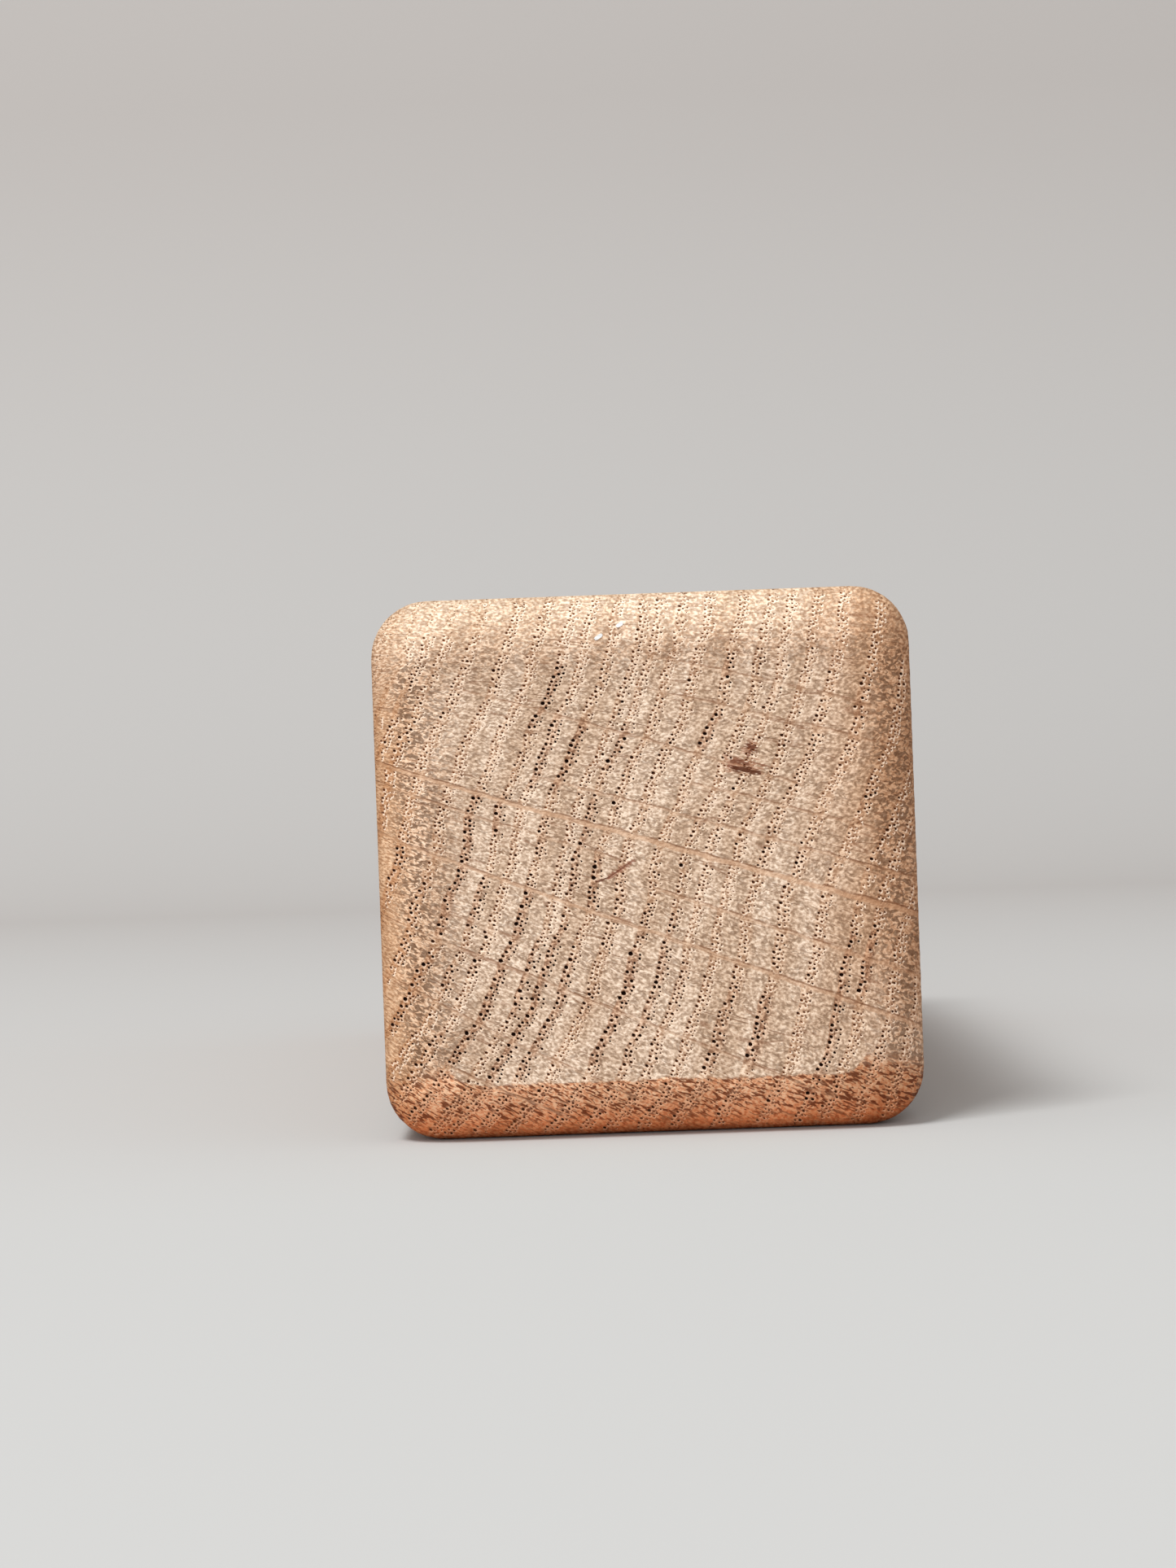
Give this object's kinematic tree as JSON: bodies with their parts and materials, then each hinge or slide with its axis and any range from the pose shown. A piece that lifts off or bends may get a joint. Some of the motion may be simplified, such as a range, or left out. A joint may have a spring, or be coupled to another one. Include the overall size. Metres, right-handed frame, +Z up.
{
  "type": "wooden batten",
  "caption": "Short square oak batten, sawn across the grain at both ends, with every edge rounded over; a rest, prop or spacer for the bench.",
  "frame": {"origin": "middle of the underside, the long face the batten lies on", "axes": "+Y along the length and the grain, with the shown end at -Y; +Z up; +X to the right when looking at the shown end"},
  "size_m": [0.06, 0.15, 0.06],
  "materials": {
    "oak": "bare, sanded, open grain"
  },
  "bodies": {
    "root": {"batten": "oak"}
  },
  "joints": []
}
